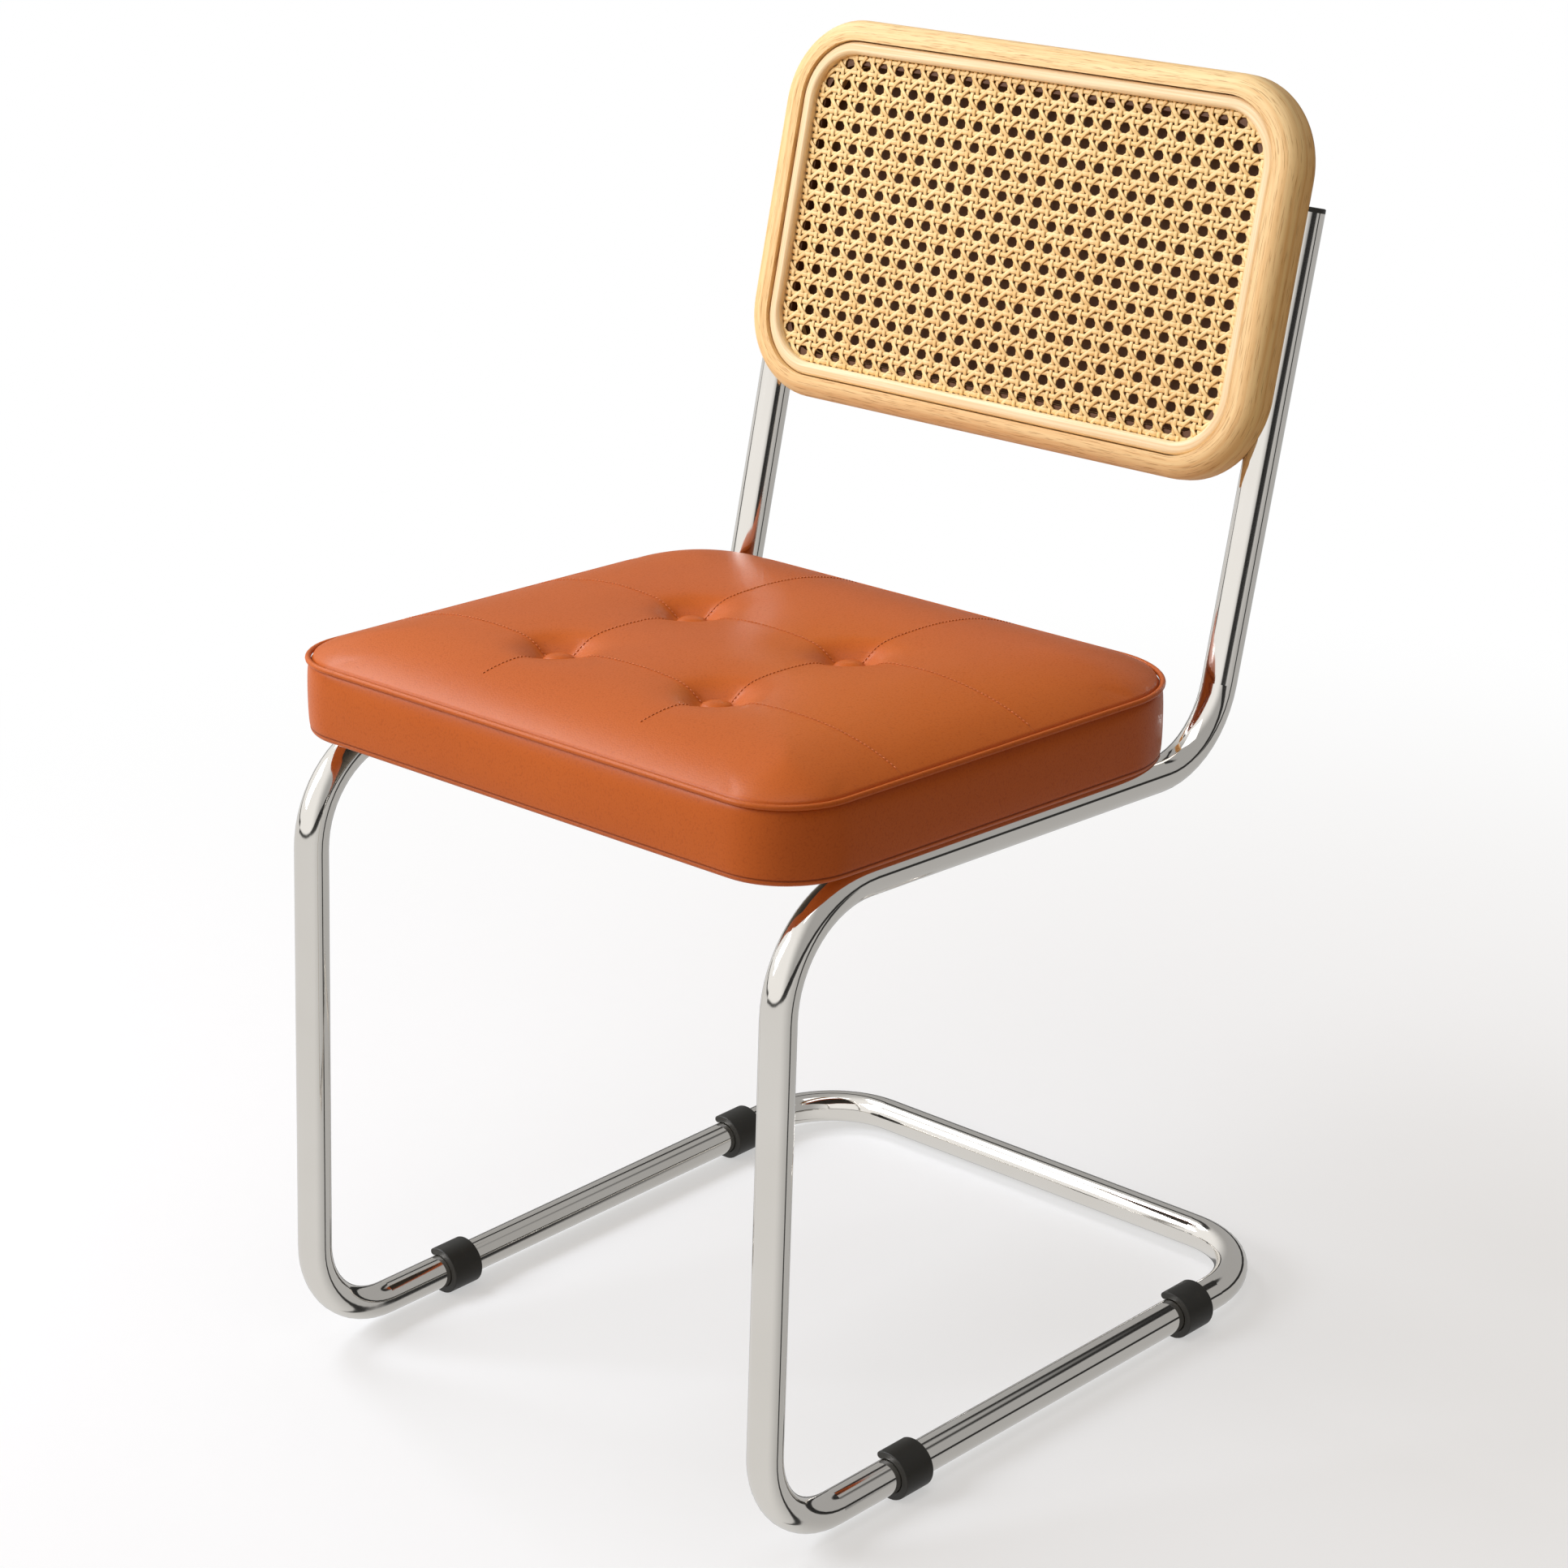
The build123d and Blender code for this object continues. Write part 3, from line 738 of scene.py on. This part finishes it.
def seam_valley(x, y):
    """Depth of the valleys: a bell across each line, deeper near a button, gone at the front slope."""
    gap = button_gap(x, y)
    front_fade = smooth(y, button_y[0] - front_line_end, button_y[0] - front_line_end / 2)
    bell_x = np.exp(-((np.abs(x) - button_x) / valley_width) ** 2) * front_fade
    bell_y = np.exp(-(np.abs(y[..., None] - button_y).min(-1) / valley_width) ** 2)
    depth = valley_depth + valley_pull * np.exp(-(gap / valley_pull_reach) ** 2)
    fade = smooth(edge_distance(x, y), *valley_edge) * smooth(gap, *valley_button)
    return np.maximum(bell_x, bell_y) * depth * fade


def top_height(x, y):
    """Seam height plus the crown, mixed down to the button's floor inside each dimple, less valleys."""
    edge = edge_distance(x, y)
    share = np.clip(edge / crown_reach, 0, 1)
    crown = band_height + crown_rise * (1 - (1 - share) ** crown_power)
    crown = crown + edge_lift * (1 - np.exp(-np.maximum(edge - edge_lift_reach, 0) / edge_lift_reach))
    fall = np.clip((button_gap(x, y) - button_radius) / (dimple_reach - button_radius), 0, 1)
    pull = (1 - fall) ** dimple_power
    return crown + (button_floor - crown) * pull - seam_valley(x, y)


# %% [markdown]
# ### Points of the slack cushion
# The cover is listed as rings from the middle outwards and up: round the board inside, under it,
# up the side and over the seam to the field. Rings that never move are the first ones, so the
# simulation can hold them by their number.

# %% Points and quads of the slack cushion
band_profile = np.array([
    # inset and height of each ring: the foam's flat on the board, down the board's side and in under it
    (12.0, 13.3), (5.0, 13.3), (4.35, 13.3), (4.35, 12.7), (4.35, 1.7), (4.35, 1.1), (5.0, 1.1), (23.4, 1.1),
    # the leather's cut edge, then out below the board and up the side to the seam behind the piping
    (24.0, 1.1), (24.0, 0.05), (23.4, 0.05), (12.0, 0.05), (5.5, 0.05), (3.2, 0.3), (1.9, 1.2), (1.15, 2.5),
    (0.8, 3.5), (1.5, 4.1), (0.75, 4.7), (0.5, 6.5), (0.15, 12.0), (0.0, 20.0), (0.0, 28.0), (0.2, 36.0),
    (0.55, 41.0), (1.1, 43.8), (2.0, 45.6), (3.6, 46.9),
]) * mm
pinned_rings = 20
ring_shares = np.array([0, 0.025, 0.06, 0.11, 0.17, 0.25, 0.34, 0.44, 0.54, 0.65, 0.76, 0.88])
seam_inset = 4.2 * mm


def slack_cushion():
    """All points of the cushion, ring by ring and then the field, with the rings' shape."""
    insets, heights = band_profile.T
    sides = stations - insets[:, None, None] * outward
    sides = np.concatenate([sides, np.broadcast_to(heights[:, None, None], sides.shape[:2] + (1,))], -1)
    field = np.stack([grid_x, grid_y], -1).reshape(-1, 2)
    rim = stations - seam_inset * outward
    plan = rim + (field[field_loop] - rim) * ring_shares[:, None, None]
    slope = np.concatenate([plan, top_height(plan[..., 0], plan[..., 1])[..., None]], -1)
    field = np.column_stack([field, top_height(field[:, 0], field[:, 1])])
    rings = np.concatenate([sides, slope])
    return np.vstack([rings.reshape(-1, 3), field]), rings.shape[:2]


cushion_points, ring_shape = slack_cushion()
ring_total = ring_shape[0] * ring_shape[1]
last_ring = np.arange(ring_total - ring_shape[1], ring_total)
joining = np.stack([last_ring, np.roll(last_ring, -1), np.roll(field_loop, -1) + ring_total,
                    field_loop + ring_total], -1)
cushion_quads = np.vstack([
    cap_quads(ring_shape[1])[:, ::-1],
    grid_quads(*ring_shape, close_columns=True),
    joining,
    grid_quads(*grid_x.shape) + ring_total,
])
print("slack cushion", len(cushion_points), "points", len(cushion_quads), "quads")

# %% [markdown]
# ### Blowing the cushion up
# Blender's cloth holds the seams, the turned edge and the places under the buttons still, and
# presses the rest outwards. How far a point may go is capped, so the seat keeps its size. The
# simulation runs on a copy, which is thrown away after its points are read.

# %% Simulate
side_cap = 0.8 * mm
top_cap = 6 * mm


def held_points():
    """1 where the cover is sewn, screwed or buttoned down, 0 where it is free."""
    ring = np.repeat(np.arange(ring_shape[0]), ring_shape[1])
    seam = len(band_profile)
    rings_held = (ring < pinned_rings) | (ring == seam - 1) | (ring == seam)
    field = cushion_points[ring_total:]
    return np.concatenate([rings_held, button_gap(field[:, 0], field[:, 1]) < button_radius])


def blow_up(points, quads, held, pressure=4.0, frames=20):
    """Points after the cloth has been pressed outwards for some frames, with gravity off."""
    mesh = bpy.data.meshes.new("slack")
    mesh.from_pydata(points.tolist(), [], quads.tolist())
    slack = bpy.data.objects.new("slack", mesh)
    bpy.context.scene.collection.objects.link(slack)
    pins = slack.vertex_groups.new(name="held")
    pins.add(np.flatnonzero(held).tolist(), 1.0, "REPLACE")
    cloth = slack.modifiers.new("cloth", "CLOTH")
    settings = cloth.settings
    settings.quality = 6
    settings.mass = 0.3
    settings.tension_stiffness = 18
    settings.compression_stiffness = 18
    settings.shear_stiffness = 8
    settings.bending_stiffness = 1.0
    settings.vertex_group_mass = "held"
    settings.use_pressure = True
    settings.uniform_pressure_force = pressure
    settings.effector_weights.gravity = 0
    cloth.collision_settings.use_collision = False
    cloth.point_cache.frame_start = 1
    cloth.point_cache.frame_end = frames
    scene = bpy.context.scene
    for number in range(1, frames + 1):
        scene.frame_set(number)
    shape = slack.evaluated_get(bpy.context.evaluated_depsgraph_get()).data
    moved = np.empty(len(points) * 3, np.float32)
    shape.vertices.foreach_get("co", moved)
    scene.frame_set(1)
    bpy.data.objects.remove(slack)
    bpy.data.meshes.remove(mesh)
    return moved.reshape(-1, 3).astype(float)


def cap_move(start, moved, cap, least=1e-9):
    """The move of each point, shortened to its cap where it is longer."""
    move = moved - start
    length = np.linalg.norm(move, axis=1)
    share = np.minimum(1, cap / np.maximum(length, least))
    mean, most = (round(value / mm, 2) for value in (length.mean(), length.max()))
    print("cushion moved", mean, "mm on average,", most, "at most")
    return start + move * share[:, None]


filled_points = cushion_points
move_cap = np.where(cushion_points[:, 2] < band_height, side_cap, top_cap)
blown_points = blow_up(cushion_points, cushion_quads, held_points())
filled_points = cap_move(cushion_points, blown_points, move_cap)
print("cushion's top is at", round(filled_points[:, 2].max() / mm, 1), "mm over the rails")

# %% [markdown]
# ### Leather
# Tan leather with a fine pebble: little rounded cells about a millimetre wide, deeper tone in
# the creases between them, slow clouds of tone over the hide, and a soft gloss. Stitched lines
# and the low seam of the band are drawn as narrow creases from the seat's own flat coordinates, darkened
# with painted shade.

# %% Leather's finish
low_seam_height = 4.1 * mm
front_line_fade = 50 * mm


def leather_finish(name, sewn):
    """Tan leather; sewn adds the creases of the stitched lines and of the band's low seam, dented and
    darkened with painted shade.
    """
    material, graph, shader = new_finish(name, Specular_IOR_Level=0.2)
    flat = graph.object_place(seat_plane)
    cells = graph.node("ShaderNodeTexVoronoi", {"feature": "F1"}, {"Vector": flat, "Scale": 820.0})
    fine = graph.noise(flat, 2400.0, 2.0)
    cloud = graph.noise(flat, 9.0, 4.0, 0.55)
    pebble = (1 - cells) * 0.7 + fine * 0.3
    tone = graph.mix(cloud, colour(188, 92, 33), colour(200, 103, 40))
    tone = graph.mix(cells.step(0.5, 0.95) * 0.25, tone, colour(150, 62, 22))
    height = pebble
    if sewn:
        x, y, up = graph.parts(flat)
        front, rear = (float(v) for v in button_y)
        level = abs(y - front).least(abs(y - rear))
        upright = abs(abs(x) - button_x) + (1 - y.step(front - front_line_end, front - front_line_fade))
        on_top = up.step(band_height, band_height + 2 * mm)
        sewn_line = (1 - level.least(upright).step(0.2 * mm, 0.75 * mm)) * on_top
        low_seam = 1 - abs(up - low_seam_height).step(0.25 * mm, 0.8 * mm)
        # painted shade: the stitched lines and the band's low seam are darkened towards dark brown
        tone = graph.mix((sewn_line * 0.14).most(low_seam * 0.6), tone, colour(104, 40, 14))
        height = pebble - sewn_line - low_seam * 4.0
    feed(graph, shader,
         Base_Color=tone,
         Roughness=0.29 + cells * 0.1 + cloud * 0.05,
         Normal=graph.bump(height, 0.07 * mm))
    return material


leather = leather_finish("tan_leather", sewn=True)
plain_leather = leather_finish("tan_leather_trim", sewn=False)
cushion = make_piece("seat_cushion", seat_plane.place(filled_points), cushion_quads, leather)
rounding = cushion.modifiers.new("rounding", "SUBSURF")
rounding.levels = rounding.render_levels = 1
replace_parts(cushion, "seat_cover_top", "seat_cover_band", "seat_foam")

# %% [markdown]
# ### Piping and buttons
# Piping is a cord in a folded strip of leather, sewn between the top and the band. It is a circle
# carried round the outline. A button is a disc of leather over a domed blank, so it is a profile
# turned about its middle, and it sits on the floor of its dimple.

# %% Piping and buttons
def make_piping(radius=1.8 * mm, inset=1.0 * mm, sides=12):
    """A circle carried round the outline: out and up from the line by the circle's own angle."""
    angle = np.linspace(0, 2 * np.pi, sides, endpoint=False)
    flat = stations[:, None] + (radius * np.cos(angle)[:, None] - inset) * outward[:, None]
    up = np.broadcast_to(band_height + radius * np.sin(angle), flat.shape[:2])
    points = np.concatenate([flat, up[..., None]], -1)
    quads = grid_quads(len(stations), sides, close_rows=True, close_columns=True)[:, ::-1]
    piece = make_piece("seat_piping_round", seat_plane.place(points), quads, plain_leather)
    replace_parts(piece, "seat_piping")


def make_button(name, middle, turns=40):
    """A domed profile turned about the button's middle, closed above and below."""
    radius = np.array([0.3, 6.0, 9.0, 9.8, 10.0, 9.6, 8.7, 7.2, 5.0, 2.5, 0.3]) * mm
    height = np.array([0.0, 0.0, 0.1, 0.55, 1.3, 2.2, 3.1, 3.85, 4.45, 4.8, 4.9]) * mm
    angle = np.linspace(0, 2 * np.pi, turns, endpoint=False)
    points = np.stack([
        middle[0] + radius[:, None] * np.cos(angle),
        middle[1] + radius[:, None] * np.sin(angle),
        np.broadcast_to(button_floor + height[:, None], (len(radius), turns)),
    ], -1)
    quads = tube_quads(1, len(radius), turns)
    piece = make_piece(name + "_dome", seat_plane.place(points), quads, plain_leather)
    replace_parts(piece, name)


make_piping()
places = ("front_left", "front_right", "rear_left", "rear_right")
for place, middle in zip(places, buttons):
    make_button("tuft_button_" + place, middle)

# %% [markdown]
# ## Stitches
# The lines are sewn with a thick waxed thread, a paler tan than the leather. Every stitch is a
# short rounded piece that dips into the leather at both ends. The lines are dropped on the
# finished cushion first, so the stitches follow its dimples.

# %% Sew the lines
stitch_pitch = 3.1 * mm
stitch_length = 2.4 * mm
thread_radius = 0.36 * mm
line_inset = 7 * mm
look_height = 200 * mm


def line_on_cushion(start, end, surface, step=0.5 * mm):
    """Points under a straight line in plan, found by looking down on the finished cushion."""
    count = int(np.linalg.norm(np.subtract(end, start)) / step)
    plan = np.linspace(start, end, count)
    above = seat_plane.place(np.column_stack([plan, np.full(count, look_height)]))
    down = Vector(-seat_up)
    hits = [surface.ray_cast(Vector(point), down)[0] for point in above]
    return np.array([hit for hit in hits if hit is not None])


def stitches_along(path):
    """Short threads along a path: a small circle carried along each, its radius falling to the ends."""
    length = np.append(0, np.cumsum(np.linalg.norm(np.diff(path, axis=0), axis=1)))
    starts = np.arange(0.5 * stitch_pitch, length[-1] - stitch_pitch, stitch_pitch)
    share = np.array([0.0, 0.12, 0.5, 0.88, 1.0])
    at = starts[:, None] + share * stitch_length
    middle = np.stack([np.interp(at, length, path[:, k]) for k in range(3)], -1)
    tangent = middle[:, -1] - middle[:, 0]
    tangent = tangent / np.linalg.norm(tangent, axis=1, keepdims=True)
    side = np.cross(seat_up, tangent)
    side = side / np.linalg.norm(side, axis=1, keepdims=True)
    up = np.cross(tangent, side)
    lift = np.array([-0.25, 0.15, 0.38, 0.15, -0.25]) * mm
    radius = np.array([0.1, 0.75, 1.0, 0.75, 0.1]) * thread_radius
    angle = np.linspace(0, 2 * np.pi, 6, endpoint=False)
    ring = side[:, None, None] * np.cos(angle)[:, None] + up[:, None, None] * np.sin(angle)[:, None]
    return middle[:, :, None] + up[:, None, None] * lift[:, None, None] + ring * radius[:, None, None]


thread_tones = (188, 92, 40), (216, 126, 70)
waxed = speckled_finish("waxed_thread", (2200.0, 2.0), thread_tones, (0.5, 0.2), 0.05 * mm)
bpy.context.view_layer.update()
surface = BVHTree.FromObject(cushion, bpy.context.evaluated_depsgraph_get())
edge = seat_half - line_inset
ends = [((-edge, y), (edge, y)) for y in button_y]
ends += [((x, button_y[0] - front_line_end), (x, seat_rear - line_inset)) for x in (-button_x, button_x)]
thread = np.concatenate([stitches_along(line_on_cushion(start, end, surface)) for start, end in ends])
make_piece("seat_stitches", thread, tube_quads(*thread.shape[:3]), waxed)
print("stitches", len(thread))

# %% [markdown]
# ## Studio
# The photograph is a bright studio picture on white, with the chair's right side in warm shade.
# The floor is pale paper. The camera sees half plain white on it, and only white further out,
# which leaves a soft shadow. What the paper throws back on the chair is set darker and warmer
# than it looks, because the photograph's shaded sides are dark and warm.

# %% Floor
floor_white = 0.5


def floor_finish(reach=1.5):
    """Pale matt floor that keeps the shadow near the chair and turns plain white further out."""
    material, graph, shader = new_finish("studio_floor", Specular_IOR_Level=0.0)
    place = graph.object_place()
    grain = graph.noise(place, 40.0, 2.0)
    paper = graph.mix(grain, colour(243, 246, 251), colour(245, 248, 253))
    bounced = graph.node("ShaderNodeLightPath", out="Is Diffuse Ray")
    feed(graph, shader,
         Base_Color=graph.mix(bounced, paper, colour(220, 204, 180)),
         Roughness=0.9 + grain * 0.05)
    far = graph.node("ShaderNodeVectorMath", {"operation": "LENGTH"}, {0: place}, out="Value")
    seen = graph.node("ShaderNodeLightPath", out="Is Camera Ray")
    white = graph.node("ShaderNodeEmission", None, {"Color": (1, 1, 1, 1), "Strength": 1.0})
    matt = Signal(graph, shader.outputs[0])
    pale = (floor_white + far.step(0.3 * reach, reach) * (1 - floor_white)) * seen
    mixed = graph.node("ShaderNodeMixShader", None, {0: pale, 1: matt, 2: white})
    graph.tree.links.new(mixed.socket, graph.tree.nodes["Material Output"].inputs["Surface"])
    return material


def make_floor(half=6.0):
    """A wide square at floor height, which mirrors don't see."""
    mesh = bpy.data.meshes.new("floor")
    corners = [(-half, -half, 0), (half, -half, 0), (half, half, 0), (-half, half, 0)]
    mesh.from_pydata(corners, [], [(0, 1, 2, 3)])
    mesh.materials.append(floor_finish())
    floor = bpy.data.objects.new("floor", mesh)
    bpy.context.scene.collection.objects.link(floor)
    floor.visible_glossy = False


make_floor()
print("floor laid")

# %% [markdown]
# ### Light
# Three soft boxes light the chair: a large one at the front left, a small one at the left for the
# gleam on the seat's front slope, and a weak one overhead. What the chrome mirrors is a room worked
# out from the direction alone: bright in front, grey behind, with a dark skirting, rail and stand.
# Cards in the scene would do it too, but they would cast shadows. The room is invented, and its dark
# bands are set to where the photograph's tubes show theirs.

# %% Lights
box_tint = (0.97, 1.0, 1.06)
wall_dim, wall_bright = 0.42, 1.0
ground_dim, ground_bright = 0.48, 0.76
band_darkness = 0.94
behind_darkness = 0.75


def soft_box(name, place, target, size, watts):
    """A square area light that looks from a place to a target."""
    lamp = bpy.data.lights.new(name, "AREA")
    lamp.shape = "SQUARE"
    lamp.size = size
    lamp.energy = watts
    lamp.color = box_tint
    light = bpy.data.objects.new(name, lamp)
    bpy.context.scene.collection.objects.link(light)
    light.location = place
    light.rotation_euler = (Vector(target) - Vector(place)).to_track_quat("-Z", "Y").to_euler()


def make_world(ambient=0.5):
    """A studio as the chair sees it: bright at the front left, grey at the right, a dark skirting.

    Brightness comes from the direction, as a rise and a turn in degrees. Mirrors see it in full,
    matt surfaces see the ambient share of it in a warm colour, and the camera sees plain white.
    """
    world = bpy.data.worlds.new("white_room")
    world.use_nodes = True
    bpy.context.scene.world = world
    graph = Graph(world.node_tree)
    degrees = float(np.degrees(1))
    x, y, z = graph.parts(graph.node("ShaderNodeTexCoord", out="Generated"))
    rise, turn = z.math("ARCSINE", z) * degrees, y.math("ARCTAN2", y, x) * degrees
    front = (x * -0.5 - y * 0.87).step(-0.2, 0.5)
    wall = wall_dim + front * (wall_bright - wall_dim)
    near = (x * -0.35 - y * 0.94).step(-0.9, 0.3)
    ground = ground_dim + near * (ground_bright - ground_dim)
    room = ground + (wall - ground) * rise.step(-1.0, 3.0)
    rear = 1 - front
    skirting = (rise + rear * 3.0).step(-1.5, 0.0) * (1 - (rise - rear * 4.0).step(1.5, 3.0))
    rail = rise.band(41.0, 43.0, 47.0, 50.0) * turn.step(50.0, 70.0)
    stand = turn.band(28.0, 31.0, 37.0, 40.0) * (1 - rise.step(-6.0, -3.0))
    behind = (x * -0.66 + y * 0.647 - z * 0.382).step(0.955, 0.985)
    dark = skirting.most(rail).most(stand).most(behind * behind_darkness)
    room = room * (1 - dark * band_darkness)
    path = graph.node("ShaderNodeLightPath").socket.node.outputs
    camera = Signal(graph, path["Is Camera Ray"])
    mirror = Signal(graph, path["Is Glossy Ray"]).most(Signal(graph, path["Is Transmission Ray"]))
    strength = room * (ambient + mirror * (1 - ambient))
    strength = strength + (1 - strength) * camera
    background = world.node_tree.nodes["Background"]
    bounce = graph.mix(camera.most(mirror), colour(255, 226, 184), (1, 1, 1, 1))
    world.node_tree.links.new(bounce.socket, background.inputs["Color"])
    world.node_tree.links.new(strength.socket, background.inputs["Strength"])


soft_box("key_box", (-1.8, -2.1, 2.1), (0, 0, 0.4), 1.6, 69)
soft_box("left_box", (-1.85, -0.1, 2.35), (0, -0.1, 0.4), 0.9, 24)
soft_box("top_box", (0.3, -0.2, 2.8), (0, 0, 0.4), 1.6, 12)
make_world()
print("three soft boxes and the room")

# %% [markdown]
# ## Camera
# The camera was fitted to the lines of the tube in the photograph: it looks from the chair's
# front right and a little above, through a long lens, with a slight roll.

# %% Camera
azimuth, elevation, roll = np.radians([45.59, 22.44, -2.25])
camera_place = (1.69164, -1.71525, 1.28552)


def make_camera():
    """Three directions from the angles: back out of the picture, right and up turned by the roll."""
    level = np.array([np.cos(azimuth), np.sin(azimuth), 0])
    away = np.array([np.sin(azimuth), -np.cos(azimuth), 0])
    back = away * np.cos(elevation) + np.array([0, 0, np.sin(elevation)])
    upright = np.cross(back, level)
    right = np.cos(roll) * level + np.sin(roll) * upright
    up = -np.sin(roll) * level + np.cos(roll) * upright
    data = bpy.data.cameras.new("photo_camera")
    data.sensor_width = 36
    data.lens = 93.83
    data.shift_x = 0.0316
    data.shift_y = 0.0774
    camera = bpy.data.objects.new("photo_camera", data)
    bpy.context.scene.collection.objects.link(camera)
    matrix = Matrix(np.column_stack([right, up, back]).tolist()).to_4x4()
    matrix.translation = camera_place
    camera.matrix_world = matrix
    bpy.context.scene.camera = camera


make_camera()
bpy.context.scene.view_settings.view_transform = "Standard"
print("camera at", camera_place)
